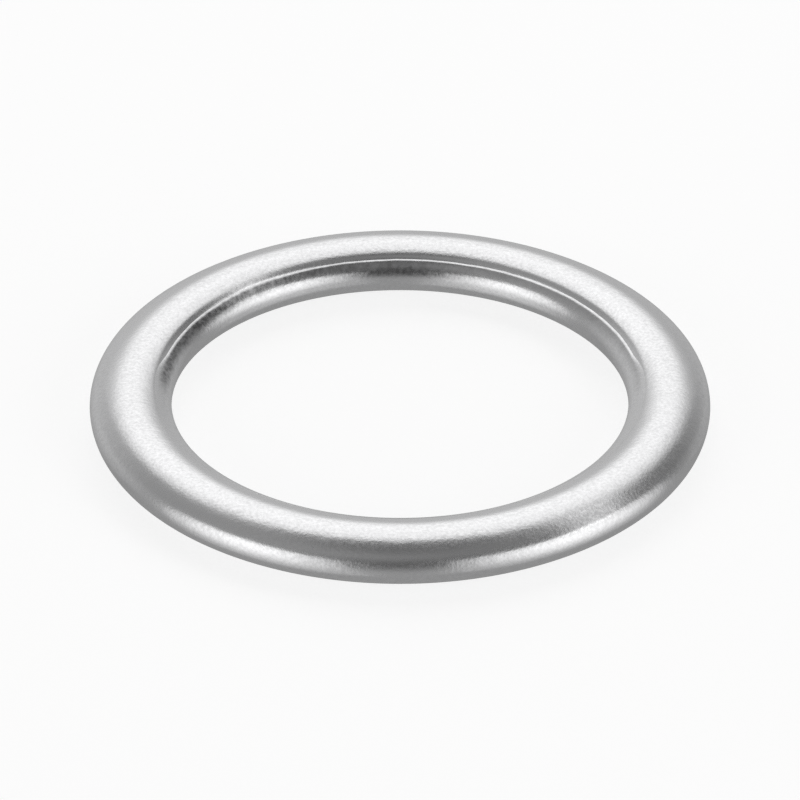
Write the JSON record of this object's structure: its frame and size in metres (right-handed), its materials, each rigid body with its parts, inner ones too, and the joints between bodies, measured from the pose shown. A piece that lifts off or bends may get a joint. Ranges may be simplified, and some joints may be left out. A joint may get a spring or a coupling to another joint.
{
  "type": "drain plug washer",
  "caption": "Folded crush washer: a hollow oval ring of soft aluminium sheet that seals under a threaded drain plug and flattens as the plug is tightened.",
  "frame": {"origin": "centre of the ring, on the surface that the washer lies on", "axes": "+Z along the ring's axis, up from the lower crest to the upper crest, on the seam's side"},
  "size_m": [0.022, 0.022, 0.0019],
  "materials": {
    "sheet_aluminium": "satin rolled sheet, softly burnished by folding"
  },
  "bodies": {
    "root": {"crush_washer": "sheet_aluminium"}
  },
  "joints": []
}
